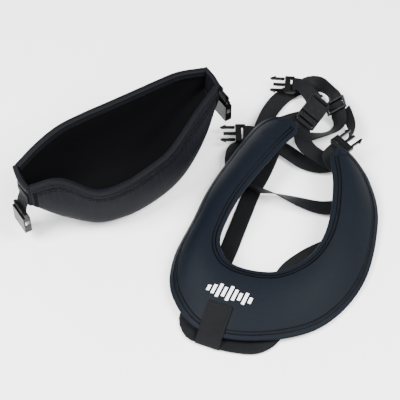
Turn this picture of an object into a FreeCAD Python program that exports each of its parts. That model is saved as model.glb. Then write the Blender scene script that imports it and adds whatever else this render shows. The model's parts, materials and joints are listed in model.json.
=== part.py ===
"""A padded holster harness for a wind instrument, built as a parametric document.

Two sewn pieces lie side by side: a horse-collar yoke with its webbing and clips,
and a crescent pouch with the sockets that the clips go into. Millimetres, +Z up.
Every size is a cell of the sheet "Sizes". The buckles are bodies and sketches bound
to that sheet; the sewn sheets and the webbing are features whose shapes follow it.
"""
import FreeCAD, Part
import Sketcher
import math
import os
from FreeCAD import Placement, Rotation, Vector

doc = FreeCAD.newDocument("HolsterHarness")

# ------------------------------------------------------------------ driving sizes
SIZES = [
    ("yoke_width", 290), ("yoke_length", 365), ("ply_cover", 2.2), ("ply_core", 2.6),
    ("ply_lining", 1.0), ("ply_gap", 0.1), ("hem_width", 11), ("tip_round", 20),
    ("webbing_width", 25), ("webbing_thickness", 1.5), ("webbing_gap", 0.3),
    ("patch_width", 34), ("patch_reach", 15), ("patch_top", 40), ("print_height", 0.25),
    ("buckle_rail", 4), ("bar_radius", 1.8), ("slot_length", 4.2), ("male_thickness", 5),
    ("male_base", 15), ("prong_length", 23), ("prong_width", 3), ("prong_thickness", 4),
    ("prong_bow", 2.4), ("guide_width", 4), ("female_thickness", 10.6), ("female_wall", 1.7),
    ("female_length", 38), ("window_length", 10), ("fit_gap", 0.4),
    ("slider_length", 23), ("slider_thickness", 3), ("slider_bar", 3),
    ("pouch_length", 310), ("panel_thickness", 3.4), ("seam_gap", 0.4), ("pouch_lining", 0.8), ("lining_gap", 1.2),
    ("binding_drop", 9), ("binding_thickness", 1.2), ("pouch_yaw", 33),
]
sheet = doc.addObject("Spreadsheet::Sheet", "Sizes")
for row, (alias, number) in enumerate(SIZES, start=1):
    sheet.set("A%d" % row, alias)
    sheet.set("B%d" % row, str(number))
    sheet.setAlias("B%d" % row, alias)
doc.recompute()


def size(alias):
    """The number in the cell with this alias."""
    return float(sheet.get(alias))


SUBPARTS = []


def keep(feature, label):
    """Give a sub-part its own label and put it on the list that is checked and written."""
    feature.Label = label
    SUBPARTS.append(feature)
    return feature


def sewn(label, shape):
    """A sub-part whose shape comes from Part's own functions."""
    feature = doc.addObject("Part::Feature", label)
    feature.Shape = shape
    return keep(feature, label)


# ------------------------------------------------------------------ curves and sheets
def smooth(values, where):
    """A smooth curve through evenly spaced values (numbers or Vectors); where is 0 to 1."""
    last = len(values) - 1
    position = min(max(where, 0.0), 1.0) * last
    i = min(int(position), last - 1)
    u = position - i
    a, b = values[i], values[i + 1]
    before = values[i - 1] if i > 0 else a + (a - b)
    after = values[i + 2] if i + 2 <= last else b + (b - a)
    slope_a, slope_b = (b - before) * 0.5, (after - a) * 0.5
    return (a * (1 - 3 * u * u + 2 * u ** 3) + b * (3 * u * u - 2 * u ** 3)
            + slope_a * (u - 2 * u * u + u ** 3) + slope_b * (u ** 3 - u * u))


def unit(vector):
    """The same direction, one long."""
    return vector * (1.0 / vector.Length)


def sheet_solid(point, across, along, low, high):
    """A closed sheet between two offsets of the surface point(along, across, offset)."""
    skins = []
    for offset in (low, high):
        grid = [[point(a, c, offset) for c in across] for a in along]
        surface = Part.BSplineSurface()
        surface.interpolate(grid)
        skins.append(surface.toShape())
    walls = []
    for one, other in zip(skins[0].Edges, skins[1].Edges):
        walls.append(Part.makeRuledSurface(one, other))
    shell = Part.makeShell(skins + walls)
    shell.sewShape()
    solid = Part.makeSolid(shell)
    if solid.Volume < 0:
        solid.reverse()
    return solid


def lofted(sections):
    """A closed solid through closed wires, facing outwards."""
    loft = Part.makeLoft(sections, True, True)
    if loft.Volume < 0:
        loft.reverse()
    return loft


def steps(start, end, count):
    """count + 1 evenly spaced numbers from start to end."""
    return [start + (end - start) * i / count for i in range(count + 1)]


# ------------------------------------------------------------------ yoke
NOMINAL_WIDTH, NOMINAL_LENGTH = 290.0, 365.0
YOKE_CENTRE = Vector(110, -60, 0)


def place(x, y, z=0.0):
    """A point on the harness, drawn at the nominal yoke and stretched to the sheet's yoke."""
    wide = size("yoke_width") / NOMINAL_WIDTH
    long = size("yoke_length") / NOMINAL_LENGTH
    return Vector(YOKE_CENTRE.x + (x - YOKE_CENTRE.x) * wide, YOKE_CENTRE.y + (y - YOKE_CENTRE.y) * long, z)


# Underside of the collar from the left tip round the back of the neck to the right tip:
# neck edge, outer edge, and how late the sheet drops from the one to the other.
COLLAR = [
    ((150, 92, 47), (118, 122, 45), 2.0),
    ((118, 58, 47), (82, 108, 27), 2.8),
    ((66, -14, 44), (22, 18, 13), 3.0),
    ((40, -62, 41), (-8, -52, 11), 3.0),
    ((27, -105, 38), (-34, -115, 8), 2.6),
    ((40, -137, 35), (-36, -170, 5.5), 1.9),
    ((74, -151, 34), (0, -226, 5.5), 1.5),
    ((112, -150, 34), (75, -242, 6.5), 1.3),
    ((150, -126, 35), (160, -218, 1.2), 1.3),
    ((172, -90, 37), (222, -148, 0.8), 1.3),
    ((184, -45, 40), (250, -48, 5), 1.4),
    ((189, 5, 43), (243, 18, 14), 1.6),
    ((185, 48, 45), (212, 64, 37), 1.8),
]
ARCH = 4.0
RIBBON_STEP = 8.0
LEG = 5.0
UNDER_GAP = 2.2
NECK_EDGE = [place(*neck) for neck, outer, drop in COLLAR]
OUTER_EDGE = [place(*outer) for neck, outer, drop in COLLAR]
DROP = [drop for neck, outer, drop in COLLAR]
YOKE_STEPS = 48


def yoke_surface(t, s):
    """Underside of the collar: t runs from left tip to right tip, s from neck to outer edge."""
    neck, outer = smooth(NECK_EDGE, t), smooth(OUTER_EDGE, t)
    span = (NECK_EDGE[0] - NECK_EDGE[1]).Length * (len(COLLAR) - 1)
    from_tip = min(t, 1 - t) * span / size("tip_round")
    if from_tip < 1:
        s = 0.5 + (s - 0.5) * math.sqrt(0.12 + 0.88 * (1 - (1 - from_tip) ** 2))
    point = neck + (outer - neck) * s
    point.z = neck.z + (outer.z - neck.z) * s ** smooth(DROP, t) + ARCH * math.sin(math.pi * s)
    return point


def yoke_point(t, s, offset):
    """A point that far above the collar's underside, square to it."""
    step = 0.004
    t0, t1 = max(t, step) - step, min(t, 1 - step) + step
    s0, s1 = max(s, step) - step, min(s, 1 - step) + step
    along = yoke_surface(t1, s) - yoke_surface(t0, s)
    across = yoke_surface(t, s1) - yoke_surface(t, s0)
    up = unit(along.cross(across))
    if up.z < 0:
        up = up * -1
    return yoke_surface(t, s) + up * offset


def collar_stations(start, end):
    """Stations along the collar, closer together where its tips are rounded."""
    tip = [0.0, 0.003, 0.008, 0.016, 0.028]
    stations = tip + steps(0.045, 0.955, YOKE_STEPS) + [1 - t for t in reversed(tip)]
    return [start + (end - start) * t for t in stations]


def collar_height():
    """Total thickness of the sewn collar."""
    return size("ply_lining") + size("ply_core") + size("ply_cover") + 2 * size("ply_gap")


def build_yoke():
    """Cover on top, turned hems at both edges, and core and lining between the hems."""
    total = collar_height()
    under_cover = total - size("ply_cover") - size("ply_gap")
    panel = 0.5 * (abs(NECK_EDGE[3].x - OUTER_EDGE[3].x) + abs(NECK_EDGE[7].y - OUTER_EDGE[7].y))
    hem = size("hem_width") / panel
    inside = hem + size("seam_gap") / panel * 2
    full = collar_stations(0, 1)
    short = steps(0.02, 0.98, YOKE_STEPS)
    sewn("yoke_cover", sheet_solid(yoke_point, steps(0, 1, 10), full, total - size("ply_cover"), total))
    sewn("yoke_neck_hem", sheet_solid(yoke_point, steps(0, hem, 2), full, 0, under_cover))
    sewn("yoke_outer_hem", sheet_solid(yoke_point, steps(1 - hem, 1, 2), full, 0, under_cover))
    middle = steps(inside, 1 - inside, 8)
    lining_top = 0.1 + size("ply_lining")
    sewn("yoke_core", sheet_solid(yoke_point, middle, short, lining_top + size("ply_gap"), under_cover))
    sewn("yoke_lining", sheet_solid(yoke_point, middle, short, 0.1, lining_top))


# ------------------------------------------------------------------ webbing
def sides_of(points, tilts):
    """The width direction at each stop: a tilt in degrees from level, or a Vector to follow."""
    sides = []
    for k, tilt in enumerate(tilts):
        ahead = unit(points[min(k + 1, len(points) - 1)] - points[max(k - 1, 0)])
        if isinstance(tilt, Vector):
            side = tilt
        else:
            side = Rotation(ahead, tilt).multVec(unit(Vector(-ahead.y, ahead.x, 0)))
        if isinstance(tilt, Vector) and sides and side.dot(sides[-1]) < 0:
            side = side * -1
        sides.append(side)
    first = 0
    while first < len(tilts) - 1 and isinstance(tilts[first], Vector):
        first += 1
    for k in range(first - 1, -1, -1):
        if sides[k].dot(sides[k + 1]) < 0:
            sides[k] = sides[k] * -1
    return sides


def spread(stops):
    """Close-set (point, side) samples on the smooth line through a strap's stops."""
    points = [point for point, tilt in stops]
    sides = sides_of(points, [tilt for point, tilt in stops])
    last = len(points) - 1
    samples = []
    for k, (a, b) in enumerate(zip(points, points[1:])):
        count = max(3, math.ceil((b - a).Length / RIBBON_STEP))
        for j in range(count):
            where = (k + j / count) / last
            samples.append((smooth(points, where), smooth(sides, where)))
    return samples + [(points[-1], sides[-1])]


def ribbon(samples, width):
    """Webbing of that width through (point, side) samples, as one closed solid."""
    thickness = size("webbing_thickness")
    sections = []
    for k, (here, side) in enumerate(samples):
        ahead = unit(samples[min(k + 1, len(samples) - 1)][0] - samples[max(k - 1, 0)][0])
        up = unit(ahead.cross(side))
        side = up.cross(ahead)
        corners = []
        for across, rise in ((-1, -1), (1, -1), (1, 1), (-1, 1), (-1, -1)):
            corners.append(here + side * (across * width / 2) + up * (rise * thickness / 2))
        sections.append(Part.makePolygon(corners))
    return lofted(sections)


def ring_radius():
    """From a bar's centre to the middle of the webbing round it."""
    return size("bar_radius") + size("webbing_gap") + size("webbing_thickness") / 2


def wrap(frame, side, ahead):
    """Samples round a bar from the cut end to where the webbing leaves it, above or below the bar."""
    bar = frame.Rotation.multVec(Vector(0, 1, 0))
    radius = ring_radius()
    spots = []
    if ahead < 0:
        spots.append((-LEG, -side * radius))
        angles = [side * (-90 + 30 * k) for k in range(6)]
    else:
        angles = [side * (300 - 30 * k) for k in range(7)]
    for angle in angles:
        spots.append((radius * math.cos(math.radians(angle)), radius * math.sin(math.radians(angle))))
    return [(frame.multVec(Vector(x, 0, z)), bar) for x, z in spots]


def strap(label, stops, frame=None, side=1, ahead=-1):
    """A strap along its stops; where it starts at a clip it first goes round the clip's bar."""
    samples = spread(stops)
    if frame:
        turns = wrap(frame, side, ahead)
        if turns[0][1].dot(samples[0][1]) < 0:
            turns = [(point, bar * -1) for point, bar in turns]
        samples = turns + samples
    return sewn(label, ribbon(samples, size("webbing_width")))


def leg(frame, side):
    """Two stops where webbing leaves a bar square to it: above the bar (1) or below it (-1)."""
    bar = frame.Rotation.multVec(Vector(0, 1, 0))
    return [(frame.multVec(Vector(x, 0, side * ring_radius())), bar) for x in (0, -LEG)]


def route(*stops):
    """Route points given as (x, y, z, tilt) on the harness."""
    return [(place(x, y, z), tilt) for x, y, z, tilt in stops]


def under_yoke(t, s, gap=UNDER_GAP):
    """A stop just below the collar's lining, for webbing that is sewn on there."""
    return yoke_point(t, s, -gap - size("webbing_thickness") / 2), 0


# ------------------------------------------------------------------ buckles
def outline(body, name, role, corners):
    """A closed sketch on one of the body's own planes; each corner is a pair of expressions."""
    sketch = body.newObject("Sketcher::SketchObject", name)
    planes = {feature.Role: feature for feature in body.Origin.OriginFeatures}
    sketch.AttachmentSupport = [(planes[role], "")]
    sketch.MapMode = "FlatFace"
    spots = [(worked_out(x), worked_out(y)) for x, y in corners]
    for (x0, y0), (x1, y1) in zip(spots, spots[1:] + spots[:1]):
        sketch.addGeometry(Part.LineSegment(Vector(x0, y0, 0), Vector(x1, y1, 0)), False)
    for k in range(len(spots)):
        sketch.addConstraint(Sketcher.Constraint("Coincident", k, 2, (k + 1) % len(spots), 1))
    for k, (x, y) in enumerate(corners):
        for axis, text, number in (("DistanceX", x, spots[k][0]), ("DistanceY", y, spots[k][1])):
            index = sketch.addConstraint(Sketcher.Constraint(axis, -1, 1, k, 1, number))
            sketch.setExpression("Constraints[%d]" % index, bound(text))
    return sketch


def bound(text):
    """The expression with each alias written as a cell of the sheet."""
    for alias in sorted((alias for alias, number in SIZES), key=len, reverse=True):
        text = text.replace("@" + alias, "Sizes." + alias)
    return text


KNOWN = {}


def worked_out(text):
    """The expression's number, worked out by the sheet in a spare cell."""
    if text not in KNOWN:
        sheet.set("D1", "=" + text.replace("@", ""))
        sheet.recompute()
        KNOWN[text] = float(sheet.get("D1"))
    return KNOWN[text]


def pad(body, sketch, length):
    """A pad of that length, half to each side of its sketch."""
    feature = body.newObject("PartDesign::Pad", "Pad")
    feature.Profile = sketch
    feature.Midplane = True
    feature.setExpression("Length", bound(length))
    doc.recompute()
    return feature


def pocket(body, sketch, length):
    """A pocket of that length, half to each side of its sketch."""
    feature = body.newObject("PartDesign::Pocket", "Pocket")
    feature.Profile = sketch
    feature.Midplane = True
    feature.setExpression("Length", bound(length))
    doc.recompute()
    return feature


def box(x0, x1, y0, y1):
    """The four corners of a rectangle, from expressions."""
    return [(x0, y0), (x1, y0), (x1, y1), (x0, y1)]


def round_bar(body):
    """The bar that the webbing goes round, along Y through the body's origin."""
    bar = body.newObject("PartDesign::AdditiveCylinder", "Bar")
    bar.setExpression("Radius", bound("@bar_radius"))
    bar.setExpression("Height", bound("@webbing_width + @buckle_rail"))
    turn = Rotation(Vector(1, 0, 0), -90)
    bar.Placement = Placement(Vector(0, 0, 0), turn)
    bar.setExpression("Placement.Base.y", bound("-(@webbing_width + @buckle_rail) / 2"))
    doc.recompute()
    return bar


HALF = "(@webbing_width / 2 + @buckle_rail)"
SLOT_HALF = "(@webbing_width / 2 + @fit_gap)"
SLOT_END = "(@bar_radius + @slot_length)"


def male_base(label, frame):
    """The clip's plate: slot and bar for the webbing, and the central guide."""
    body = keep(doc.addObject("PartDesign::Body", label), label)
    plate = outline(body, "Plate", "XY_Plane", box("0", "@male_base", "-" + HALF, HALF))
    pad(body, plate, "@male_thickness")
    slot = outline(body, "Slot", "XY_Plane", box("-@bar_radius", SLOT_END, "-" + SLOT_HALF, SLOT_HALF))
    pocket(body, slot, "@male_thickness * 2")
    round_bar(body)
    guide = outline(body, "Guide", "XY_Plane", box("@male_base - 1", "@male_base + @prong_length - 5",
                                                    "-@guide_width / 2", "@guide_width / 2"))
    pad(body, guide, "@prong_thickness - 1")
    body.Placement = frame
    return body


PRONG_Y = "(@webbing_width / 2 + @buckle_rail - @female_wall - @fit_gap - @prong_width / 2 - 0.8)"


def prong(label, frame, side):
    """A springy side arm with its barbed head; it turns about its rounded root."""
    body = keep(doc.addObject("PartDesign::Body", label), label)
    root = "(@male_base + @fit_gap + @prong_width / 2)"
    tip = "(@male_base + @prong_length)"
    sign = "" if side > 0 else "-"
    inner = "%s(%s - @prong_width / 2)" % (sign, PRONG_Y)
    outer = "%s(%s + @prong_width / 2)" % (sign, PRONG_Y)
    barb = "%s(%s + @prong_width / 2 + @prong_bow)" % (sign, PRONG_Y)
    shape = [(root, inner), (tip + " - 3", inner), (tip, sign + PRONG_Y), (tip + " - 3", outer),
             (tip + " - 8", barb), (tip + " - 9", barb), (tip + " - 9", outer), (root, outer)]
    if side < 0:
        shape = shape[::-1]
    arm = outline(body, "Arm", "XY_Plane", shape)
    pad(body, arm, "@prong_thickness")
    heel = body.newObject("PartDesign::AdditiveCylinder", "Heel")
    heel.setExpression("Radius", bound("@prong_width / 2"))
    heel.setExpression("Height", bound("@prong_thickness"))
    heel.setExpression("Placement.Base.x", bound(root))
    heel.setExpression("Placement.Base.y", bound(sign + PRONG_Y))
    heel.setExpression("Placement.Base.z", bound("-@prong_thickness / 2"))
    doc.recompute()
    body.Placement = frame
    return body


def male_clip(stem, frame):
    """A whole male clip as three nodes: its plate and its two arms."""
    male_base(stem + "_plate", frame)
    prong(stem + "_arm_left", frame, 1)
    prong(stem + "_arm_right", frame, -1)


def female_clip(label, frame):
    """The socket: webbing slot and bar, hollow for the arms, windows in both sides."""
    body = keep(doc.addObject("PartDesign::Body", label), label)
    tail = outline(body, "Tail", "XY_Plane", box("0", SLOT_END + " + 3", "-" + HALF, HALF))
    pad(body, tail, "@male_thickness")
    slot = outline(body, "Slot", "XY_Plane", box("-@bar_radius", SLOT_END, "-" + SLOT_HALF, SLOT_HALF))
    pocket(body, slot, "@male_thickness * 2")
    round_bar(body)
    shell = outline(body, "Shell", "XY_Plane", box(SLOT_END + " + 2", "@female_length", "-" + HALF, HALF))
    pad(body, shell, "@female_thickness")
    hollow_half = "(%s - @female_wall)" % HALF
    hollow = outline(body, "Hollow", "XY_Plane",
                     box("@female_length - @prong_length - 1.5", "@female_length + 1", "-" + hollow_half, hollow_half))
    pocket(body, hollow, "@female_thickness - 2 * @female_wall")
    window_end = "(@female_length - @prong_length + 9.6)"
    window = outline(body, "Window", "XY_Plane",
                     box(window_end + " - @window_length", window_end, "-%s - 1" % HALF, "%s + 1" % HALF))
    pocket(body, window, "@prong_thickness + 2")
    body.Placement = frame
    return body


def slider(label, frame):
    """A flat adjuster with two slots and a round middle bar, along its own X."""
    body = keep(doc.addObject("PartDesign::Body", label), label)
    half = "@slider_length / 2"
    plate = outline(body, "Plate", "XY_Plane", box("-%s" % half, half, "-" + HALF, HALF))
    pad(body, plate, "@slider_thickness")
    window = outline(body, "Window", "XY_Plane",
                     box("-(%s - @slider_bar)" % half, "%s - @slider_bar" % half, "-" + SLOT_HALF, SLOT_HALF))
    pocket(body, window, "@slider_thickness * 2")
    bar = body.newObject("PartDesign::AdditiveCylinder", "Bar")
    bar.setExpression("Radius", bound("@slider_bar / 2"))
    bar.setExpression("Height", bound("@webbing_width + @buckle_rail"))
    bar.Placement = Placement(Vector(0, 0, 0), Rotation(Vector(1, 0, 0), -90))
    bar.setExpression("Placement.Base.y", bound("-(@webbing_width + @buckle_rail) / 2"))
    doc.recompute()
    body.Placement = frame
    return body


def aim(point, towards, roll=0.0):
    """A placement at a point whose X axis aims along a direction, then rolled about it."""
    x = unit(towards)
    level = Vector(-x.y, x.x, 0)
    y = unit(level) if level.Length > 0.1 else Vector(0, 1, 0)
    y = Rotation(x, roll).multVec(y)
    z = x.cross(y)
    turn = FreeCAD.Matrix(x.x, y.x, z.x, point.x, x.y, y.y, z.y, point.y, x.z, y.z, z.z, point.z, 0, 0, 0, 1)
    return Placement(turn)


def heading(degrees):
    """The level direction at this angle from +X."""
    return Vector(math.cos(math.radians(degrees)), math.sin(math.radians(degrees)), 0)


# ------------------------------------------------------------------ things on the yoke
def on_yoke(x, y, offset):
    """The point that far above the collar's underside, over this place on the ground."""
    t, s = 0.52, 0.75
    for _ in range(12):
        here = yoke_surface(t, s)
        step_t = (yoke_surface(t + 0.001, s) - here) * 1000
        step_s = (yoke_surface(t, s - 0.001) - here) * -1000
        gap_x, gap_y = x - here.x, y - here.y
        scale = step_t.x * step_s.y - step_t.y * step_s.x
        t += (gap_x * step_s.y - gap_y * step_s.x) / scale
        s += (step_t.x * gap_y - step_t.y * gap_x) / scale
    return yoke_point(t, s, offset)


PATCH_T = 0.519
LOW = size("webbing_thickness") / 2 + 0.1


def patch_frame():
    """Where the loop patch crosses the outer edge, and the directions out from it and along it."""
    edge = yoke_surface(PATCH_T, 1)
    along = yoke_surface(PATCH_T + 0.01, 1) - yoke_surface(PATCH_T - 0.01, 1)
    along = unit(Vector(along.x, along.y, 0))
    return edge, Vector(along.y, -along.x, 0), along


def build_patch():
    """Webbing sewn on the cover, round the outer edge as an open loop, and back underneath."""
    edge, out, along = patch_frame()
    thick = size("webbing_thickness")
    lift = collar_height() + size("ply_gap") + thick / 2
    reach = size("patch_reach")
    stops = []
    for back in (1.0, 0.75, 0.5, 0.25, 0.08):
        spot = edge - out * (size("patch_top") * back)
        stops.append(on_yoke(spot.x, spot.y, lift))
    stops.append(edge + out * (reach * 0.45) + Vector(0, 0, collar_height() * 0.85))
    for ahead, height in ((0.95, 5.5), (1.0, 2.6), (0.8, LOW + 0.1), (0.2, LOW), (-1.3, LOW), (-1.75, 4.5)):
        spot = edge + out * (reach * ahead)
        stops.append(Vector(spot.x, spot.y, height))
    for back in (34, 42):
        spot = edge - out * back
        stops.append(on_yoke(spot.x, spot.y, -UNDER_GAP - 1 - thick / 2))
    sewn("back_loop_patch", ribbon(spread([(stop, along) for stop in stops]), size("patch_width")))


def build_print():
    """A generic mark: a row of slanted level bars on the cover."""
    centre = place(38, -183)
    along, lean = heading(-21), heading(62)
    rise = collar_height() + 0.05
    bars = []
    for k, tall in enumerate((7, 12, 18, 13, 20, 15, 10, 16, 8)):
        foot = centre + along * (7.2 * (k - 4)) - lean * (tall / 2)

        def point(a, b, offset, foot=foot):
            spot = foot + along * a + lean * b
            return on_yoke(spot.x, spot.y, offset)
        bars.append(sheet_solid(point, steps(0, tall, 3), steps(0, 4.2, 2), rise, rise + size("print_height")))
    sewn("yoke_print", Part.makeCompound(bars))


# ------------------------------------------------------------------ clips and webbing on the yoke
MATED = size("male_base") + size("fit_gap") + size("female_length")
CHEST_AHEAD = heading(58.3)
CHEST_MALE = aim(place(154, 111, 42), CHEST_AHEAD, 25)
CHEST_FEMALE = aim(place(154, 111, 42) + CHEST_AHEAD * MATED, CHEST_AHEAD * -1, -25)
LEFT_CLIP = aim(place(68, 116, 14), heading(181))
TOP_CLIP = aim(place(146, 211, 18), heading(176))
RIGHT_CLIP = aim(place(202, 71, 35), heading(40))
ADJUSTER = aim(place(206, 165, 22), heading(-82), 35)


def build_clips():
    """The four clips of the harness, the chest socket and the flat adjuster."""
    male_clip("chest_clip", CHEST_MALE)
    female_clip("chest_socket", CHEST_FEMALE)
    male_clip("left_clip", LEFT_CLIP)
    male_clip("top_clip", TOP_CLIP)
    male_clip("right_clip", RIGHT_CLIP)
    slider("strap_adjuster", ADJUSTER)


def through_adjuster():
    """Stops that thread webbing up through one slot, over the middle bar and down the other."""
    thick, gap = size("webbing_thickness"), size("webbing_gap")
    below = -(size("slider_thickness") / 2 + thick / 2 + gap * 2)
    above = size("slider_bar") / 2 + thick / 2 + gap * 1.5
    half = size("slider_length") / 2
    inner = half - size("slider_bar")
    bar = ADJUSTER.Rotation.multVec(Vector(0, 1, 0))
    local = [(-half - 5, below), (-inner, below), (-inner / 2, 0), (0, above), (inner / 2, 0),
             (inner, below), (half + 5, below)]
    return [(ADJUSTER.multVec(Vector(x, 0, z)), bar) for x, z in local]


def build_straps():
    """Every length of webbing on the yoke, each by its route."""
    edge, out, along = patch_frame()
    bed = size("webbing_thickness") * 1.5 + 0.1 + size("webbing_gap") * 2
    by_patch = [(edge + out + along * step + Vector(0, 0, bed - edge.z), 0) for step in (-25, -12, 0, 12, 25)]

    strap("top_strap", route(
        (88, 82, 26, 0), (91, 93, 18, 0), (92, 105, 11, 0), (92, 122, 8, 8), (97, 142, 7, 22), (106, 164, 8, 28),
        (119, 186, 7, 20), (134, 203, 6, 10), (152, 216, 5, 5), (170, 223, 8, 28), (188, 217, 13, 66),
        (199, 204, 15, 80), (203, 192, 17, 66))
        + through_adjuster() + route(
        (211, 136, 13, 42), (203, 124, 12, 42), (190, 117, 12, 40), (176, 114, 11, 30), (162, 114, 8, 15),
        (148, 117, 6, 0)))

    strap("back_strap", [under_yoke(0.06, 0.45, 2.5)] + route(
        (108, 75, 35, 0), (102, 62, 23, 0), (91, 42, 9, 0), (77, 16, 2.6, 0), (64, -20, LOW, 0), (51, -58, LOW, 0),
        (38, -96, LOW, 0), (20, -138, LOW, 0), (-4, -176, LOW, 0), (-16, -203, LOW + 1.2, 0))
        + by_patch + route(
        (72, -247, bed, 0), (95, -232, bed, 0), (103, -204, LOW, 0), (106, -168, LOW, 0), (118, -130, LOW, 0),
        (145, -104, LOW, 0), (176, -86, LOW, 0), (206, -76, LOW, 0), (228, -58, 2.5, 0), (226, -32, 5, 0),
        (202, -20, 7, 0), (172, -20, 8, 5), (142, -11, 10, 22), (108, 0, 15, 52), (82, 7, 16, 72),
        (65, 19, 13, 58), (54, 36, 8, 28), (48, 54, 7, 25), (47, 72, 8, 38), (52, 86, 7, 28), (63, 98, 4.5, 6),
        (77, 106, 4, 0), (88, 110, 4, 0)))

    strap("left_clip_strap", leg(LEFT_CLIP, 1) + route((82, 113, 18, 0), (91, 103, 25, 0))
          + [under_yoke(0.078, 0.62)], LEFT_CLIP)
    strap("top_clip_strap", leg(TOP_CLIP, 1) + route(
        (159, 206, 20, 0), (167, 195, 19, 5), (173, 182, 20, 12), (178, 172, 25, 20)), TOP_CLIP)
    strap("right_clip_strap", leg(RIGHT_CLIP, -1) + route(
        (190, 57, 30, 0), (196, 45, 27, 0), (209, 37, 24, 0), (223, 31, 20, 0)), RIGHT_CLIP, -1)
    strap("chest_strap_left", leg_under(CHEST_FEMALE) + route(
        (160, 130, 34.5, -24), (149, 126, 35.5, -16), (138, 121, 35.5, -6)) + [under_yoke(0.033, 0.72, 6.5)],
        CHEST_FEMALE, -1, 1)
    strap("chest_strap_right", leg(CHEST_MALE, -1) + route(
        (151, 98, 32, 10), (154, 87, 24, 5), (165, 76, 19, 0), (180, 63, 19, 0), (196, 49, 20, 0),
        (208, 38, 17, 0)), CHEST_MALE, -1)
    strap("cross_strap", route(
        (110, 99, 6, 0), (125, 91, 6, 0), (140, 77, 6, 0), (156, 64, 6, 0), (176, 57, 7, 0), (198, 60, 8, 0)))
    strap("strap_tail", route(
        (219, 158, 20, 62), (224, 147, 17, 68), (228, 133, 15, 72), (228, 119, 14, 72), (224, 108, 14, 70)))


def leg_under(frame):
    """Stops where webbing doubles back from its ring underneath the buckle."""
    height = -ring_radius()
    low = -(size("female_thickness") / 2 + size("webbing_thickness") / 2 + 1.6)
    bar = frame.Rotation.multVec(Vector(0, 1, 0))
    spots = [(0, height), (5.5, height * 0.35 + low * 0.65), (13, low), (22, low - 0.6)]
    return [(frame.multVec(Vector(x, 0, z)), bar) for x, z in spots]


# ------------------------------------------------------------------ pouch
POUCH_CENTRE = Vector(-110, 36, 0)
FRONT_RIM_DEPTH = [-17, -34, -62, -71, -71, -66, -48, -26, -10]
FRONT_RIM_HEIGHT = [105, 112, 89, 88, 94, 100, 107, 113, 118]
BACK_RIM_DEPTH = [19, 31, 38, 38, 36, 35, 35, 35, 26]
BACK_RIM_HEIGHT = [118, 126, 132, 134, 135, 135, 134, 131, 126]
BELLY_DEPTH = [-19, -43, -64, -74, -75, -71, -60, -42, -12]
KEEL_HEIGHT = [62, 26, 5, 1, 1, 5, 20, 50, 82]
KEEL_DEPTH = [0, -14, -26, -32, -34, -32, -26, -14, 4]
KEEL_HALF = [12, 14, 17, 19, 20, 19, 17, 15, 12]


def pouch_surface(a, w):
    """Outer face of the pouch: a from -1 to 1 along it, w from front rim under to back rim."""
    def at(values):
        return smooth(values, (a + 1) / 2)
    front, back = at(FRONT_RIM_DEPTH), at(BACK_RIM_DEPTH)
    keel, depth, half = at(KEEL_HEIGHT), at(KEEL_DEPTH), at(KEEL_HALF)
    front_top, back_top = at(FRONT_RIM_HEIGHT), at(BACK_RIM_HEIGHT)
    belly = at(BELLY_DEPTH)
    ribs = [
        Vector(0, front, front_top),
        Vector(0, belly, keel + 0.55 * (front_top - keel)),
        Vector(0, belly * 0.94, keel + 0.2 * (front_top - keel)),
        Vector(0, depth - half, keel + 0.02 * (front_top - keel)),
        Vector(0, depth, keel),
        Vector(0, depth + half, keel + 0.02 * (back_top - keel)),
        Vector(0, 0.55 * back + 0.45 * (depth + half) + 5, keel + 0.18 * (back_top - keel)),
        Vector(0, 0.9 * back + 2, keel + 0.55 * (back_top - keel)),
        Vector(0, back, back_top),
    ]
    local = smooth(ribs, w)
    local.x = a * size("pouch_length") / 2
    turn = Rotation(Vector(0, 0, 1), size("pouch_yaw"))
    return POUCH_CENTRE + turn.multVec(local)


def pouch_point(a, w, offset):
    """A point that far outside the pouch's outer face, square to it."""
    step_a, step_w = 0.02, 0.04
    a0, a1 = max(a - step_a, -1), min(a + step_a, 1)
    w0, w1 = max(w - step_w, 0), min(w + step_w, 1)
    along = pouch_surface(a1, w) - pouch_surface(a0, w)
    down = pouch_surface(a, w1) - pouch_surface(a, w0)
    return pouch_surface(a, w) + unit(down.cross(along)) * offset


def pouch_local(u, v, z):
    """A point by its distance along and across the pouch, and its height."""
    turn = Rotation(Vector(0, 0, 1), size("pouch_yaw"))
    return POUCH_CENTRE + turn.multVec(Vector(u, v, z))


def end_plate(side):
    """The narrow gusset that closes one end of the pouch."""
    gap, thick = size("seam_gap"), size("panel_thickness")
    outward = pouch_local(side, 0, 0) - POUCH_CENTRE
    rim = [pouch_surface(side, w) for w in steps(0, 1, 16)]
    face = Part.Face(Part.makePolygon(rim + [rim[0]]))
    plate = face.extrude(outward * thick)
    plate.translate(outward * gap)
    return plate


def binding(front):
    """The tape folded over the top edge of the front or the back, as an upturned channel."""
    gap = size("seam_gap")
    wall = size("panel_thickness") + size("lining_gap") + size("pouch_lining") + 2 * gap
    tape, drop = size("binding_thickness"), size("binding_drop")
    rim, lower = (0, 0.1) if front else (1, 0.9)
    sections = []
    for a in steps(-0.995, 0.995, 44):
        edge = pouch_surface(a, rim)
        down = unit(pouch_surface(a, lower) - edge)
        reach = drop / (pouch_surface(a, lower) - edge).Length
        foot = rim + (lower - rim) * reach
        square = unit(down.cross(pouch_point(a, rim, 1) - edge))
        corners = []
        for w, across, rise in ((foot, gap + tape, 0), (rim, gap + tape, gap + tape),
                                (rim, -wall - tape, gap + tape), (foot, -wall - tape, 0),
                                (foot, -wall, 0), (rim, -wall, gap), (rim, gap, gap), (foot, gap, 0)):
            corner = pouch_point(a, w, across) - down * rise
            corners.append(corner - square * (corner - edge).dot(square))
        sections.append(Part.makePolygon(corners + [corners[0]]))
    return lofted(sections)


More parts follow.
